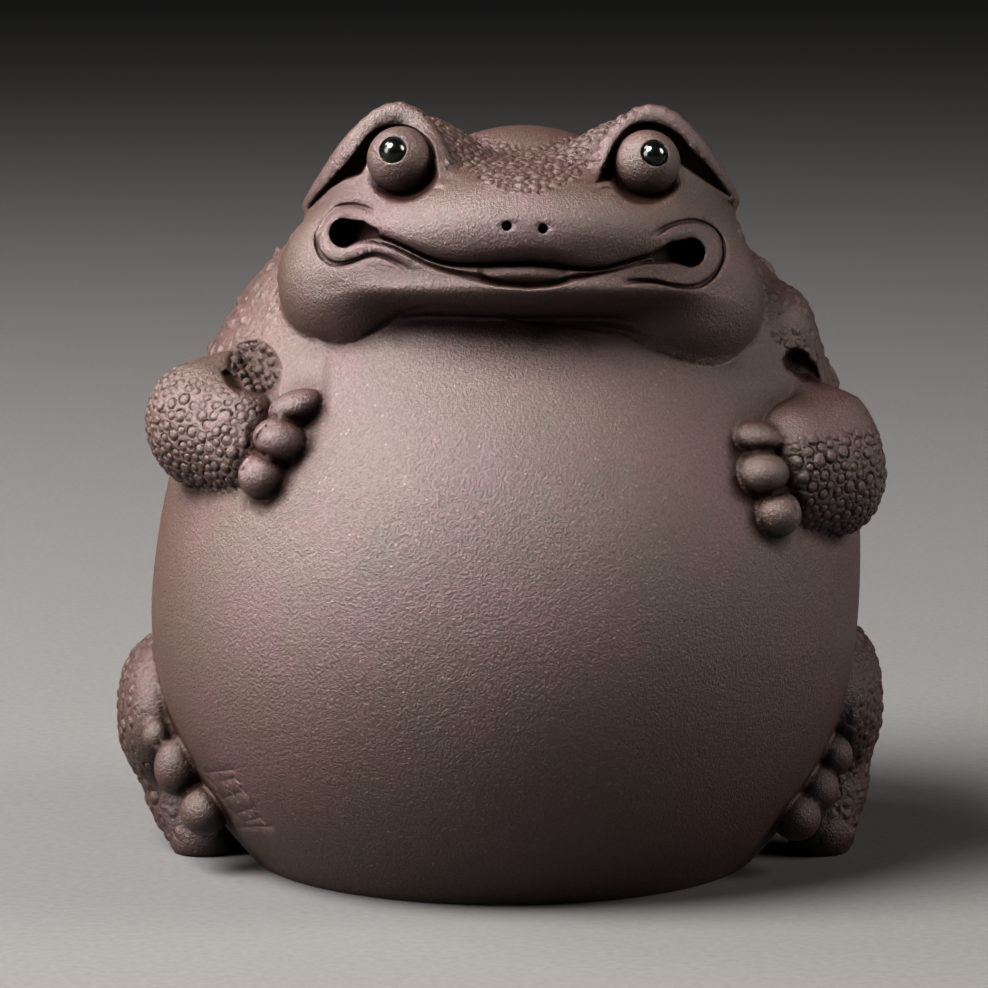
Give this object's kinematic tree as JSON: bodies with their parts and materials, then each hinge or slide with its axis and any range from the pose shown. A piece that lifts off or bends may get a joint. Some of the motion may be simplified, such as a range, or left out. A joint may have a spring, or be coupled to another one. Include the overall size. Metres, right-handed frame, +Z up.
{
  "type": "money toad figure",
  "caption": "Seated fat toad in unglazed clay with a round belly, hands laid on it, a wide rolled mouth and glossy bead pupils, standing on its own flat foot.",
  "frame": {"origin": "middle of the flat foot under the belly, on the surface that the toad stands on", "axes": "+Z up; the toad faces -Y; +X is to its own left"},
  "size_m": [0.1018, 0.0894, 0.0998],
  "materials": {
    "brown_clay": "unglazed brown stoneware, fine grained, rubbed to a soft sheen",
    "black_glaze": "glossy black"
  },
  "bodies": {
    "root": {"clay_toad": "brown_clay", "right_pupil": "black_glaze", "left_pupil": "black_glaze"}
  },
  "joints": []
}
